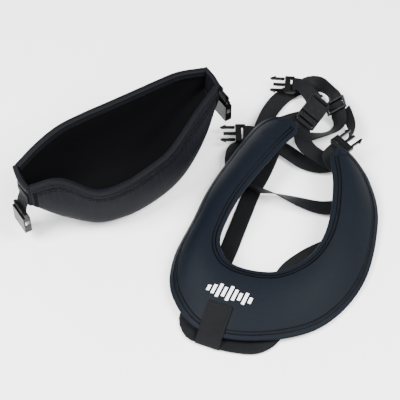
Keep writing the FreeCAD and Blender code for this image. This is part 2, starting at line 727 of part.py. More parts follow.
def build_pouch():
    """Front, base and back panels, each with its lining, then end gussets and rim bindings."""
    thick, gap = size("panel_thickness"), size("seam_gap")
    inside = thick + size("lining_gap")
    along = steps(-1, 1, 28)
    seam = gap / 180
    low, high = 3.0 / 8, 5.0 / 8
    for name, start, end, count in (("front", 0, low - seam, 14), ("base", low + seam, high - seam, 8),
                                    ("back", high + seam, 1, 14)):
        across = steps(start, end, count)
        sewn("pouch_" + name, sheet_solid(pouch_point, across, along, -thick, 0))
        sewn("lining_" + name, sheet_solid(pouch_point, across, along[1:-1],
                                           -inside - size("pouch_lining"), -inside))
    sewn("pouch_end_left", end_plate(-1))
    sewn("pouch_end_right", end_plate(1))
    sewn("rim_binding_front", binding(True))
    sewn("rim_binding_back", binding(False))


def hanging_socket(stem, point, outward, sewn_at):
    """A socket that hangs from a webbing loop sewn to the pouch, mouth down."""
    across = Vector(-outward.y, outward.x, 0)
    turn = FreeCAD.Matrix(0, across.x, outward.x, point.x, 0, across.y, outward.y, point.y,
                          -1, across.z, outward.z, point.z, 0, 0, 0, 1)
    frame = Placement(turn)
    female_clip(stem + "_socket", frame)
    stops = [stop for stop, bar in leg(frame, -1)] + sewn_at
    strap(stem + "_tab", [(stop, across) for stop in stops], frame, -1)


def build_sockets():
    """One socket at each end of the pouch and one behind it."""
    half = size("pouch_length") / 2 + size("panel_thickness") + size("seam_gap")
    flat = size("webbing_gap") + size("webbing_thickness") / 2
    stand = size("female_thickness") / 2 + 3.5
    for stem, side, across, bar_height in (("pouch_left", -1, -5, 60), ("pouch_right", 1, -4, 88)):
        outward = pouch_local(side, 0, 0) - POUCH_CENTRE
        point = pouch_local(side * (half + stand), across, bar_height)
        upward = [pouch_local(side * (half + flat + more), across, bar_height + rise)
                  for more, rise in ((3.0, 11), (0.3, 17), (0, 24), (0, 31))]
        hanging_socket(stem, point, outward, upward)
    outward = pouch_local(0, 1, 0) - POUCH_CENTRE
    wall = [pouch_point(0, w, flat + size("webbing_gap") * 4) for w in (0.86, 0.9, 0.94)]
    top = wall[0]
    point = Vector(top.x, top.y, top.z - 16) + outward * stand
    hanging_socket("pouch_back", point, outward, wall)


# ------------------------------------------------------------------ build, check and write
def centre_on_origin():
    """Move every sub-part so that the whole stands on the origin, centred over it."""
    whole = Part.makeCompound([feature.Shape for feature in SUBPARTS]).optimalBoundingBox(False, False)
    shift = Placement(Vector(-whole.Center.x, -whole.Center.y, -whole.ZMin), Rotation())
    for feature in SUBPARTS:
        feature.Placement = shift.multiply(feature.Placement)
    doc.recompute()
    return shift.Base


def check_and_write():
    """Stop on any failed feature or shape, then write one file for each sub-part."""
    for feature in doc.Objects:
        if "Invalid" in feature.State or "Error" in feature.State:
            raise RuntimeError("%s (%s) did not compute" % (feature.Name, feature.Label))
    os.makedirs("parts", exist_ok=True)
    for feature in SUBPARTS:
        if feature.Shape.isNull() or not feature.Shape.isValid() or not feature.Shape.Solids:
            raise RuntimeError("%s has no valid solid" % feature.Label)
    for feature in SUBPARTS:
        feature.Shape.exportStep("parts/%s.step" % feature.Label)
        print("%-22s %10.1f mm3" % (feature.Label, feature.Shape.Volume))


build_yoke()
build_patch()
build_print()
build_clips()
build_straps()
build_pouch()
build_sockets()
doc.recompute()
SHIFT = centre_on_origin()
check_and_write()
print("moved by", tuple(round(n, 3) for n in SHIFT))
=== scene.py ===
"""Looks of a padded holster harness: a stitched collar with webbing and clips, beside a crescent pouch.

Lengths are in millimetres in the design's own frame; `place_mesh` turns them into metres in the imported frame.
"""

import json
import math

import bpy
from mathutils import Matrix, Vector, noise

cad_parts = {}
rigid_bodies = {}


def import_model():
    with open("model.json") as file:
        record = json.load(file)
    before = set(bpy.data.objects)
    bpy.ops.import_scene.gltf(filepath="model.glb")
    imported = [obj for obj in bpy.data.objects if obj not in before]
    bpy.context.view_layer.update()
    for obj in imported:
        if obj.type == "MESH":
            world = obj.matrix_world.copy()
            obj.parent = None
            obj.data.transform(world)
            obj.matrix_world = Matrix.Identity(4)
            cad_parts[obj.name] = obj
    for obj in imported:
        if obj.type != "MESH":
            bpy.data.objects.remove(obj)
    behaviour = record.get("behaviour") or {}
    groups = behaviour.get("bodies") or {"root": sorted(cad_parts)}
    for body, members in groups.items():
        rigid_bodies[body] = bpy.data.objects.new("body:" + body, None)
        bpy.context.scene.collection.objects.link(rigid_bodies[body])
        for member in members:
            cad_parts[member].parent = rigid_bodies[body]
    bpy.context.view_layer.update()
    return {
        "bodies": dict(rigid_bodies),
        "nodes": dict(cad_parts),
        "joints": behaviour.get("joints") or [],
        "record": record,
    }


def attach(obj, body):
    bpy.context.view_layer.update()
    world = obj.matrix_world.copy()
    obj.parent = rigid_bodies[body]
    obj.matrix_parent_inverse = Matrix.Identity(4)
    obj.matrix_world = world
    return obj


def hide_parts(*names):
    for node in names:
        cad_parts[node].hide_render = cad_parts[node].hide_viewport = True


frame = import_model()

MM = 0.001
UP = Vector((0, 0, 1))
FRAME_SHIFT = Vector((2.932, 12.806, 0.286))  # from the design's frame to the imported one, mm

SIZE = {
    "yoke_width": 290, "yoke_length": 365, "ply_cover": 2.2, "ply_core": 2.6, "ply_lining": 1.0, "ply_gap": 0.1,
    "tip_round": 20, "webbing_width": 25, "webbing_thickness": 1.5, "webbing_gap": 0.3,
    "patch_width": 34, "patch_reach": 15, "patch_top": 40, "bar_radius": 1.8, "male_base": 15,
    "female_thickness": 10.6, "female_length": 38, "fit_gap": 0.4,
    "slider_length": 23, "slider_thickness": 3, "slider_bar": 3, "pouch_length": 310, "panel_thickness": 3.4,
    "seam_gap": 0.4, "pouch_lining": 0.8, "lining_gap": 1.2, "binding_drop": 9, "binding_thickness": 1.2,
    "pouch_yaw": 33,
}


def size(name):
    """A length of the design by its name."""
    return SIZE[name]


def Vec(x, y, z=0.0):
    """A vector from three numbers."""
    return Vector((x, y, z))


def turned(vector, axis, degrees):
    """The vector turned about an axis."""
    return Matrix.Rotation(math.radians(degrees), 3, axis) @ vector


# ------------------------------------------------------------------ the design's curves and surfaces
def smooth(values, where):
    """A smooth curve through evenly spaced values (numbers or Vectors); where is 0 to 1."""
    last = len(values) - 1
    position = min(max(where, 0.0), 1.0) * last
    i = min(int(position), last - 1)
    u = position - i
    a, b = values[i], values[i + 1]
    before = values[i - 1] if i > 0 else a + (a - b)
    after = values[i + 2] if i + 2 <= last else b + (b - a)
    slope_a, slope_b = (b - before) * 0.5, (after - a) * 0.5
    return (a * (1 - 3 * u * u + 2 * u ** 3) + b * (3 * u * u - 2 * u ** 3)
            + slope_a * (u - 2 * u * u + u ** 3) + slope_b * (u ** 3 - u * u))


def unit(vector):
    """The same direction, one long."""
    return vector * (1.0 / vector.length)


def steps(start, end, count):
    """count + 1 evenly spaced numbers from start to end."""
    return [start + (end - start) * i / count for i in range(count + 1)]


NOMINAL_WIDTH, NOMINAL_LENGTH = 290.0, 365.0
YOKE_CENTRE = Vec(110, -60, 0)


def place(x, y, z=0.0):
    """A point on the harness, drawn at the nominal yoke and stretched to the sheet's yoke."""
    wide = size("yoke_width") / NOMINAL_WIDTH
    long = size("yoke_length") / NOMINAL_LENGTH
    return Vec(YOKE_CENTRE.x + (x - YOKE_CENTRE.x) * wide, YOKE_CENTRE.y + (y - YOKE_CENTRE.y) * long, z)


# Underside of the collar from the left tip round the back of the neck to the right tip:
# neck edge, outer edge, and how late the sheet drops from the one to the other.
COLLAR = [
    ((150, 92, 47), (118, 122, 45), 2.0),
    ((118, 58, 47), (82, 108, 27), 2.8),
    ((66, -14, 44), (22, 18, 13), 3.0),
    ((40, -62, 41), (-8, -52, 11), 3.0),
    ((27, -105, 38), (-34, -115, 8), 2.6),
    ((40, -137, 35), (-36, -170, 5.5), 1.9),
    ((74, -151, 34), (0, -226, 5.5), 1.5),
    ((112, -150, 34), (75, -242, 6.5), 1.3),
    ((150, -126, 35), (160, -218, 1.2), 1.3),
    ((172, -90, 37), (222, -148, 0.8), 1.3),
    ((184, -45, 40), (250, -48, 5), 1.4),
    ((189, 5, 43), (243, 18, 14), 1.6),
    ((185, 48, 45), (212, 64, 37), 1.8),
]
ARCH = 4.0            # how far the sheet rises above a straight line across it
TIP_WIDTH = 0.12      # the square of the share of its width that the sheet keeps at a tip
RIBBON_STEP = 8.0     # most between two samples of a strap
LEG = 5.0             # straight webbing next to a bar
UNDER_GAP = 2.2       # from the collar's underside to the webbing below it
NECK_EDGE = [place(*neck) for neck, outer, drop in COLLAR]
OUTER_EDGE = [place(*outer) for neck, outer, drop in COLLAR]
DROP = [drop for neck, outer, drop in COLLAR]


def yoke_surface(t, s):
    """Underside of the collar: t runs from left tip to right tip, s from neck to outer edge."""
    neck, outer = smooth(NECK_EDGE, t), smooth(OUTER_EDGE, t)
    span = (NECK_EDGE[0] - NECK_EDGE[1]).length * (len(COLLAR) - 1)
    from_tip = min(t, 1 - t) * span / size("tip_round")
    if from_tip < 1:
        s = 0.5 + (s - 0.5) * math.sqrt(TIP_WIDTH + (1 - TIP_WIDTH) * (1 - (1 - from_tip) ** 2))
    point = neck + (outer - neck) * s
    point.z = neck.z + (outer.z - neck.z) * s ** smooth(DROP, t) + ARCH * math.sin(math.pi * s)
    return point


def yoke_point(t, s, offset):
    """A point that far above the collar's underside, square to it."""
    step = 0.004
    t0, t1 = max(t, step) - step, min(t, 1 - step) + step
    s0, s1 = max(s, step) - step, min(s, 1 - step) + step
    along = yoke_surface(t1, s) - yoke_surface(t0, s)
    across = yoke_surface(t, s1) - yoke_surface(t, s0)
    up = unit(along.cross(across))
    if up.z < 0:
        up = up * -1
    return yoke_surface(t, s) + up * offset


def collar_height():
    """Total thickness of the sewn collar."""
    return size("ply_lining") + size("ply_core") + size("ply_cover") + 2 * size("ply_gap")


def sides_of(points, tilts):
    """The width direction at each stop: a tilt in degrees from level, or a Vector to follow."""
    sides = []
    for k, tilt in enumerate(tilts):
        ahead = unit(points[min(k + 1, len(points) - 1)] - points[max(k - 1, 0)])
        if isinstance(tilt, Vector):
            side = tilt
        else:
            side = turned(unit(Vec(-ahead.y, ahead.x, 0)), ahead, tilt)
        if isinstance(tilt, Vector) and sides and side.dot(sides[-1]) < 0:
            side = side * -1
        sides.append(side)
    first = 0
    while first < len(tilts) - 1 and isinstance(tilts[first], Vector):
        first += 1
    for k in range(first - 1, -1, -1):
        if sides[k].dot(sides[k + 1]) < 0:
            sides[k] = sides[k] * -1
    return sides


def spread(stops):
    """Close-set (point, side) samples on the smooth line through a strap's stops."""
    points = [point for point, tilt in stops]
    sides = sides_of(points, [tilt for point, tilt in stops])
    last = len(points) - 1
    samples = []
    for k, (a, b) in enumerate(zip(points, points[1:])):
        count = max(3, math.ceil((b - a).length / RIBBON_STEP))
        for j in range(count):
            where = (k + j / count) / last
            samples.append((smooth(points, where), smooth(sides, where)))
    return samples + [(points[-1], sides[-1])]


def ring_radius():
    """From a bar's centre to the middle of the webbing round it."""
    return size("bar_radius") + size("webbing_gap") + size("webbing_thickness") / 2


def wrap(frame, side, ahead):
    """Samples round a bar from the cut end to where the webbing leaves it, above or below the bar."""
    bar = frame.to_3x3() @ Vec(0, 1, 0)
    radius = ring_radius()
    spots = []
    if ahead < 0:
        spots.append((-LEG, -side * radius))
        angles = [side * (-90 + 30 * k) for k in range(6)]
    else:
        angles = [side * (300 - 30 * k) for k in range(7)]
    for angle in angles:
        spots.append((radius * math.cos(math.radians(angle)), radius * math.sin(math.radians(angle))))
    return [(frame @ Vec(x, 0, z), bar) for x, z in spots]


def leg(frame, side):
    """Two stops where webbing leaves a bar square to it: above the bar (1) or below it (-1)."""
    bar = frame.to_3x3() @ Vec(0, 1, 0)
    return [(frame @ Vec(x, 0, side * ring_radius()), bar) for x in (0, -LEG)]


def route(*stops):
    """Route points given as (x, y, z, tilt) on the harness."""
    return [(place(x, y, z), tilt) for x, y, z, tilt in stops]


def under_yoke(t, s, gap=UNDER_GAP):
    """A stop just below the collar's lining, for webbing that is sewn on there."""
    return yoke_point(t, s, -gap - size("webbing_thickness") / 2), 0


def aim(point, towards, roll=0.0):
    """A frame at a point whose X axis aims along a direction, then rolled about it."""
    x = unit(towards)
    level = Vec(-x.y, x.x)
    y = turned(unit(level) if level.length > 0.1 else Vec(0, 1), x, roll)
    return frame_of(x, y, x.cross(y), point)


def frame_of(x, y, z, point):
    """The matrix with these three axes at a point."""
    return Matrix(((x.x, y.x, z.x, point.x), (x.y, y.y, z.y, point.y), (x.z, y.z, z.z, point.z), (0, 0, 0, 1)))


def strap(label, stops, frame=None, side=1, ahead=-1, body="harness"):
    """Webbing along its stops; where it starts at a clip it first goes round the clip's bar."""
    samples = spread(stops)
    if frame:
        turns = wrap(frame, side, ahead)
        if turns[0][1].dot(samples[0][1]) < 0:
            turns = [(point, bar * -1) for point, bar in turns]
        samples = turns + samples
    webbing(label, samples, size("webbing_width"), body)


def heading(degrees):
    """The level direction at this angle from +X."""
    return Vec(math.cos(math.radians(degrees)), math.sin(math.radians(degrees)), 0)


START_T, START_S = 0.52, 0.75       # by the back of the neck, where the search for a place starts
SEARCH_ROUNDS, SEARCH_STEP = 12, 0.001


def on_yoke(x, y, offset):
    """The point that far above the collar's underside, over this place on the ground."""
    t, s = START_T, START_S
    for _ in range(SEARCH_ROUNDS):
        here = yoke_surface(t, s)
        step_t = (yoke_surface(t + SEARCH_STEP, s) - here) * (1 / SEARCH_STEP)
        step_s = (yoke_surface(t, s - SEARCH_STEP) - here) * (-1 / SEARCH_STEP)
        gap_x, gap_y = x - here.x, y - here.y
        scale = step_t.x * step_s.y - step_t.y * step_s.x
        t += (gap_x * step_s.y - gap_y * step_s.x) / scale
        s += (step_t.x * gap_y - step_t.y * gap_x) / scale
    return yoke_point(t, s, offset)


PATCH_T = 0.519                             # where the loop patch crosses the collar
LOW = size("webbing_thickness") / 2 + 0.1   # webbing that lies on the ground


def patch_frame():
    """Where the loop patch crosses the outer edge, and the directions out from it and along it."""
    edge = yoke_surface(PATCH_T, 1)
    along = yoke_surface(PATCH_T + 0.01, 1) - yoke_surface(PATCH_T - 0.01, 1)
    along = unit(Vec(along.x, along.y, 0))
    return edge, Vec(along.y, -along.x, 0), along


def build_patch():
    """Webbing sewn on the cover, round the outer edge as an open loop, and back underneath."""
    edge, out, along = patch_frame()
    thick = size("webbing_thickness")
    lift = collar_height() + size("ply_gap") + thick / 2
    reach = size("patch_reach")
    stops = []
    for back in (1.0, 0.75, 0.5, 0.25, 0.08):
        spot = edge - out * (size("patch_top") * back)
        stops.append(on_yoke(spot.x, spot.y, lift))
    stops.append(edge + out * (reach * 0.45) + Vec(0, 0, collar_height() * 0.85))
    for ahead, height in ((0.95, 5.5), (1.0, 2.6), (0.8, LOW + 0.1), (0.2, LOW), (-1.3, LOW), (-1.75, 4.5)):
        spot = edge + out * (reach * ahead)
        stops.append(Vec(spot.x, spot.y, height))
    for back in (34, 42):
        spot = edge - out * back
        stops.append(on_yoke(spot.x, spot.y, -UNDER_GAP - 1 - thick / 2))
    webbing("back_loop_patch", spread([(stop, along) for stop in stops]), size("patch_width"))


MATED = size("male_base") + size("fit_gap") + size("female_length")
CHEST_AHEAD = heading(58.3)
CHEST_MALE = aim(place(154, 111, 42), CHEST_AHEAD, 25)
CHEST_FEMALE = aim(place(154, 111, 42) + CHEST_AHEAD * MATED, CHEST_AHEAD * -1, -25)
LEFT_CLIP = aim(place(68, 116, 14), heading(181))
TOP_CLIP = aim(place(146, 211, 18), heading(176))
RIGHT_CLIP = aim(place(202, 71, 35), heading(40))
ADJUSTER = aim(place(206, 165, 22), heading(-82), 35)


def through_adjuster():
    """Stops that thread webbing up through one slot, over the middle bar and down the other."""
    thick, gap = size("webbing_thickness"), size("webbing_gap")
    below = -(size("slider_thickness") / 2 + thick / 2 + gap * 2)
    above = size("slider_bar") / 2 + thick / 2 + gap * 1.5
    half = size("slider_length") / 2
    inner = half - size("slider_bar")
    bar = ADJUSTER.to_3x3() @ Vec(0, 1, 0)
    local = [(-half - 5, below), (-inner, below), (-inner / 2, 0), (0, above), (inner / 2, 0),
             (inner, below), (half + 5, below)]
    return [(ADJUSTER @ Vec(x, 0, z), bar) for x, z in local]


def build_straps():
    """Every length of webbing on the yoke, each by its route."""
    edge, out, along = patch_frame()
    bed = size("webbing_thickness") * 1.5 + 0.1 + size("webbing_gap") * 2
    by_patch = [(edge + out + along * step + Vec(0, 0, bed - edge.z), 0) for step in (-25, -12, 0, 12, 25)]

    strap("top_strap", route(
        (88, 82, 26, 0), (91, 93, 18, 0), (92, 105, 11, 0), (92, 122, 8, 8), (97, 142, 7, 22), (106, 164,
                                                                                                8, 28),
        (119, 186, 7, 20), (134, 203, 6, 10), (152, 216, 5, 5), (170, 223, 8, 28), (188, 217, 13, 66),
        (199, 204, 15, 80), (203, 192, 17, 66))
        + through_adjuster() + route(
        (211, 136, 13, 42), (203, 124, 12, 42), (190, 117, 12, 40), (176, 114, 11, 30), (162, 114, 8, 15),
        (148, 117, 6, 0)))

    strap("back_strap", [under_yoke(0.06, 0.45, 2.5)] + route(
        (108, 75, 35, 0), (102, 62, 23, 0), (91, 42, 9, 0), (77, 16, 2.6, 0), (64, -20, LOW, 0), (51,
                                                                                                  -58, LOW, 0),
        (38, -96, LOW, 0), (20, -138, LOW, 0), (-4, -176, LOW, 0), (-16, -203, LOW + 1.2, 0))
        + by_patch + route(
        (72, -247, bed, 0), (95, -232, bed, 0), (103, -204, LOW, 0), (106, -168, LOW, 0), (118, -130, LOW, 0),
        (145, -104, LOW, 0), (176, -86, LOW, 0), (206, -76, LOW, 0), (228, -58, 2.5, 0), (226, -32, 5, 0),
        (202, -20, 7, 0), (172, -20, 8, 5), (142, -11, 10, 22), (108, 0, 15, 52), (82, 7, 16, 72),
        (65, 19, 13, 58), (54, 36, 8, 28), (48, 54, 7, 25), (47, 72, 8, 38), (52, 86, 7, 28), (63, 98, 4.5, 6),
        (77, 106, 4, 0), (88, 110, 4, 0)))

    strap("left_clip_strap", leg(LEFT_CLIP, 1) + route((82, 113, 18, 0), (91, 103, 25, 0))
          + [under_yoke(0.078, 0.62)], LEFT_CLIP)
    strap("top_clip_strap", leg(TOP_CLIP, 1) + route(
        (159, 206, 20, 0), (167, 195, 19, 5), (173, 182, 20, 12), (178, 172, 25, 20)), TOP_CLIP)
    strap("right_clip_strap", leg(RIGHT_CLIP, -1) + route(
        (190, 57, 30, 0), (196, 45, 27, 0), (209, 37, 24, 0), (223, 31, 20, 0)), RIGHT_CLIP, -1)
    strap("chest_strap_left", leg_under(CHEST_FEMALE) + route(
        (160, 130, 34.5, -24), (149, 125, 36.5, -16), (138, 120, 39.5, -6)) + [under_yoke(0.033, 0.72)],
        CHEST_FEMALE, -1, 1)
    strap("chest_strap_right", leg(CHEST_MALE, -1) + route(
        (151, 98, 32, 10), (154, 87, 24, 5), (165, 76, 19, 0), (180, 63, 19, 0), (196, 49, 20, 0),
        (208, 38, 17, 0)), CHEST_MALE, -1)
    strap("cross_strap", route(
        (110, 99, 6, 0), (125, 91, 6, 0), (140, 77, 6, 0), (156, 64, 6, 0), (176, 57, 7, 0), (198, 60, 8, 0)))
    strap("strap_tail", route(
        (219, 158, 20, 62), (224, 147, 17, 68), (228, 133, 15, 72), (228, 119, 14, 72), (224, 108, 14, 70)))


def leg_under(frame):
    """Stops where webbing doubles back from its ring underneath the buckle."""
    height = -ring_radius()
    low = -(size("female_thickness") / 2 + size("webbing_thickness") / 2 + 1.6)
    bar = frame.to_3x3() @ Vec(0, 1, 0)
    spots = [(0, height), (5.5, height * 0.35 + low * 0.65), (13, low), (22, low - 0.6)]
    return [(frame @ Vec(x, 0, z), bar) for x, z in spots]


POUCH_CENTRE = Vec(-110, 36, 0)
FRONT_RIM_DEPTH = [-17, -34, -62, -71, -71, -66, -48, -26, -10]
FRONT_RIM_HEIGHT = [105, 112, 89, 88, 94, 100, 107, 113, 118]
BACK_RIM_DEPTH = [19, 31, 38, 38, 36, 35, 35, 35, 26]
BACK_RIM_HEIGHT = [118, 126, 132, 134, 135, 135, 134, 131, 126]
BELLY_DEPTH = [-19, -43, -64, -74, -75, -71, -60, -42, -12]
KEEL_HEIGHT = [62, 26, 5, 1, 1, 5, 20, 50, 82]
KEEL_DEPTH = [0, -14, -26, -32, -34, -32, -26, -14, 4]
KEEL_HALF = [12, 14, 17, 19, 20, 19, 17, 15, 12]


def pouch_surface(a, w):
    """Outer face of the pouch: a from -1 to 1 along it, w from front rim under to back rim."""
    def at(values):
        return smooth(values, (a + 1) / 2)
    front, back = at(FRONT_RIM_DEPTH), at(BACK_RIM_DEPTH)
    keel, depth, half = at(KEEL_HEIGHT), at(KEEL_DEPTH), at(KEEL_HALF)
    front_top, back_top = at(FRONT_RIM_HEIGHT), at(BACK_RIM_HEIGHT)
    belly = at(BELLY_DEPTH)
    ribs = [
        Vec(0, front, front_top),
        Vec(0, belly, keel + 0.55 * (front_top - keel)),
        Vec(0, belly * 0.94, keel + 0.2 * (front_top - keel)),
        Vec(0, depth - half, keel + 0.02 * (front_top - keel)),
        Vec(0, depth, keel),
        Vec(0, depth + half, keel + 0.02 * (back_top - keel)),
        Vec(0, 0.55 * back + 0.45 * (depth + half) + 5, keel + 0.18 * (back_top - keel)),
        Vec(0, 0.9 * back + 2, keel + 0.55 * (back_top - keel)),
        Vec(0, back, back_top),
    ]
    local = smooth(ribs, w)
    local.x = a * size("pouch_length") / 2
    return POUCH_CENTRE + turned(local, UP, size("pouch_yaw"))


def pouch_point(a, w, offset):
    """A point that far outside the pouch's outer face, square to it."""
    step_a, step_w = 0.02, 0.04
    a0, a1 = max(a - step_a, -1), min(a + step_a, 1)
    w0, w1 = max(w - step_w, 0), min(w + step_w, 1)
    along = pouch_surface(a1, w) - pouch_surface(a0, w)
    down = pouch_surface(a, w1) - pouch_surface(a, w0)
    return pouch_surface(a, w) + unit(down.cross(along)) * offset


def pouch_local(u, v, z):
    """A point by its distance along and across the pouch, and its height."""
    return POUCH_CENTRE + turned(Vec(u, v, z), UP, size("pouch_yaw"))


def hanging_socket(stem, point, outward, sewn_at):
    """The webbing loop from which a socket hangs."""
    across = Vec(-outward.y, outward.x)
    frame = frame_of(Vec(0, 0, -1), across, outward, point)
    stops = [stop for stop, bar in leg(frame, -1)] + sewn_at
    strap(stem + "_tab", [(stop, across) for stop in stops], frame, -1, body="pouch")


def build_sockets():
    """The webbing tab from which each socket hangs: one at each end of the pouch and one behind it."""
    half = size("pouch_length") / 2 + size("panel_thickness") + size("seam_gap")
    flat = size("webbing_gap") + size("webbing_thickness") / 2
    stand = size("female_thickness") / 2 + 3.5
    for stem, side, across, bar_height in (("pouch_left", -1, -5, 60), ("pouch_right", 1, -4, 88)):
        outward = pouch_local(side, 0, 0) - POUCH_CENTRE
        point = pouch_local(side * (half + stand), across, bar_height)
        upward = [pouch_local(side * (half + flat + more), across, bar_height + rise)
                  for more, rise in ((3.0, 11), (0.3, 17), (0, 24), (0, 31))]
        hanging_socket(stem, point, outward, upward)
    outward = pouch_local(0, 1, 0) - POUCH_CENTRE
    wall = [pouch_point(0, w, flat + size("webbing_gap") * 4) for w in (0.86, 0.9, 0.94)]
    top = wall[0]
    point = Vec(top.x, top.y, top.z - 16) + outward * stand
    hanging_socket("pouch_back", point, outward, wall)


# ------------------------------------------------------------------ meshes
def place_mesh(name, points, faces, body, material, uvs=None):
    """A piece from points in design millimetres, riding on a body; uvs is one (u, v) per point."""
    mesh = bpy.data.meshes.new(name)
    mesh.from_pydata([(p + FRAME_SHIFT) * MM for p in points], [], faces)
    if uvs:
        layer = mesh.uv_layers.new(name="UVMap")
        for loop in mesh.loops:
            layer.data[loop.index].uv = uvs[loop.vertex_index]
    mesh.polygons.foreach_set("use_smooth", [True] * len(mesh.polygons))
    mesh.update()
    piece = bpy.data.objects.new(name, mesh)
    bpy.context.scene.collection.objects.link(piece)
    mesh.materials.append(material)
    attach(piece, body)
    return piece


def tube_faces(rings, count, caps=True):
    """Faces that join closed rings of count points each, in order, with a face over each end if caps."""
    faces = []
    for r in range(rings - 1):
        for k in range(count):
            a, b = r * count + k, r * count + (k + 1) % count
            faces.append((a, b, b + count, a + count))
    if caps:
        faces.append(tuple(reversed(range(count))))
        faces.append(tuple(range((rings - 1) * count, rings * count)))
    return faces


THREAD_RADIUS = 0.27
THREAD_SIDES = 5
THREAD_SUNK = 0.12      # how deep a seam's thread lies in the cloth
HOLE_SIDES = 7
HOLE_RISE, HOLE_DEPTH = 0.22, 0.25


class Threads:
    """Stitches, or dark discs of painted shade where the needle went through, gathered into one piece: a stitch
    is a fine tube along its points.
    """

    def __init__(self, radius=THREAD_RADIUS):
        self.points, self.faces, self.radius = [], [], radius

    def stitch(self, path, lift=None):
        """One thread along a path of points; lift is the direction away from the cloth."""
        start = len(self.points)
        up = lift or UP
        for k, here in enumerate(path):
            ahead = unit(path[min(k + 1, len(path) - 1)] - path[max(k - 1, 0)])
            side = ahead.cross(up)
            side = unit(side) if side.length > 1e-3 else unit(ahead.cross(Vec(1, 0, 0)))
            other = side.cross(ahead)
            for j in range(THREAD_SIDES):
                angle = 2 * math.pi * j / THREAD_SIDES
                self.points.append(here + side * (self.radius * math.cos(angle))
                                   + other * (self.radius * math.sin(angle)))
        for face in tube_faces(len(path), THREAD_SIDES):
            self.faces.append(tuple(start + k for k in face))

    def row(self, point, start, end, count, width, fixed):
        """Zigzag between two sides of a line; point(where, across) gives a point and the way out from it."""
        path = []
        for k in range(count + 1):
            where = start + (end - start) * k / count
            spot, out = point(where, fixed + (width / 2 if k % 2 else -width / 2))
            path.append(spot + out * (self.radius - THREAD_SUNK))
        self.stitch(path)

    def hole(self, spot, out, radius):
        """Painted shade at a needle hole: a small dark disc that stands just proud of the cloth."""
        side = unit(out.cross(Vec(0.31, 0.77, 0.55)))
        other = out.cross(side)
        start = len(self.points)
        for k in range(HOLE_SIDES):
            angle = 2 * math.pi * k / HOLE_SIDES
            self.points.append(spot + side * (radius * math.cos(angle)) + other * (radius * math.sin(angle)))
        self.points.append(spot + out * HOLE_RISE)
        self.points.append(spot - out * HOLE_DEPTH)
        for k in range(HOLE_SIDES):
            after = (k + 1) % HOLE_SIDES
            self.faces.append((start + k, start + after, start + HOLE_SIDES))
            self.faces.append((start + after, start + k, start + HOLE_SIDES + 1))

    def holes(self, point, start, end, count, fixed, radius):
        """A row of needle-hole discs of painted shade along a line."""
        for k in range(count + 1):
            spot, out = point(start + (end - start) * k / count, fixed)
            self.hole(spot, out, radius)

    def finish(self, name, body, slot, material=None):
        """Turn what was gathered into a piece."""
        place_mesh(name, self.points, self.faces, body, material or THREAD)


# ------------------------------------------------------------------ materials
def shader(name, color, rough, specular=0.5):
    """A principled material with plain values on its own sockets."""
    material = bpy.data.materials.new(name)
    material.use_nodes = True
    node = material.node_tree.nodes["Principled BSDF"]
    node.inputs["Base Color"].default_value = (*color, 1)
    node.inputs["Roughness"].default_value = rough
    node.inputs["Specular IOR Level"].default_value = specular
    return material, node


def add(material, kind, **settings):
    """A node, with its sockets and properties set."""
    node = material.node_tree.nodes.new(kind)
    for key, value in settings.items():
        if hasattr(node, key):
            setattr(node, key, value)
        else:
            node.inputs[key.replace("_", " ")].default_value = value
    return node


def join(material, source, target):
    """Link one socket to another."""
    material.node_tree.links.new(source, target)


def blend(material, source, target, low, high, span):
    """Colour a target by a source: low at the start of the span of values, high at its end."""
    ramp = add(material, "ShaderNodeValToRGB")
    elements = ramp.color_ramp.elements
    elements[0].position, elements[1].position = span
    elements[0].color, elements[1].color = (*low, 1), (*high, 1)
    join(material, source, ramp.inputs["Fac"])
    join(material, ramp.outputs["Color"], target)


def mottled(material, node, coordinate, scale, low, high):
    """Let the base colour vary between two colours with noise."""
    grain = add(material, "ShaderNodeTexNoise", Scale=scale, Detail=4.0)
    join(material, coordinate, grain.inputs["Vector"])
    blend(material, grain.outputs["Fac"], node.inputs["Base Color"], low, high, (0.35, 0.68))


def bump(material, height, target, strength, depth):
    """Raise the surface by a height from 0 to 1, that many millimetres deep."""
    node = add(material, "ShaderNodeBump", Strength=strength, Distance=depth * MM)
    join(material, height, node.inputs["Height"])
    join(material, node.outputs["Normal"], target)
    return node


def knit(name, low, high, rough, sheen, sheen_tint):
    """Knit-faced neoprene: fine loops, a soft nap and slight unevenness."""
    material, node = shader(name, low, rough, 0.07)
    node.inputs["Sheen Weight"].default_value = sheen
    node.inputs["Sheen Roughness"].default_value = 0.35
    node.inputs["Sheen Tint"].default_value = (*sheen_tint, 1)
    where = add(material, "ShaderNodeTexCoord")
    mottled(material, node, where.outputs["Object"], 900.0, low, high)
    loops = add(material, "ShaderNodeTexVoronoi", Scale=1500.0)
    join(material, where.outputs["Object"], loops.inputs["Vector"])
    swell = add(material, "ShaderNodeTexNoise", Scale=70.0, Detail=3.0)
    join(material, where.outputs["Object"], swell.inputs["Vector"])
    broad = bump(material, swell.outputs["Fac"], node.inputs["Normal"], 0.5, 0.5)
    bump(material, loops.outputs["Distance"], broad.inputs["Normal"], 0.35, 0.12)
    return material


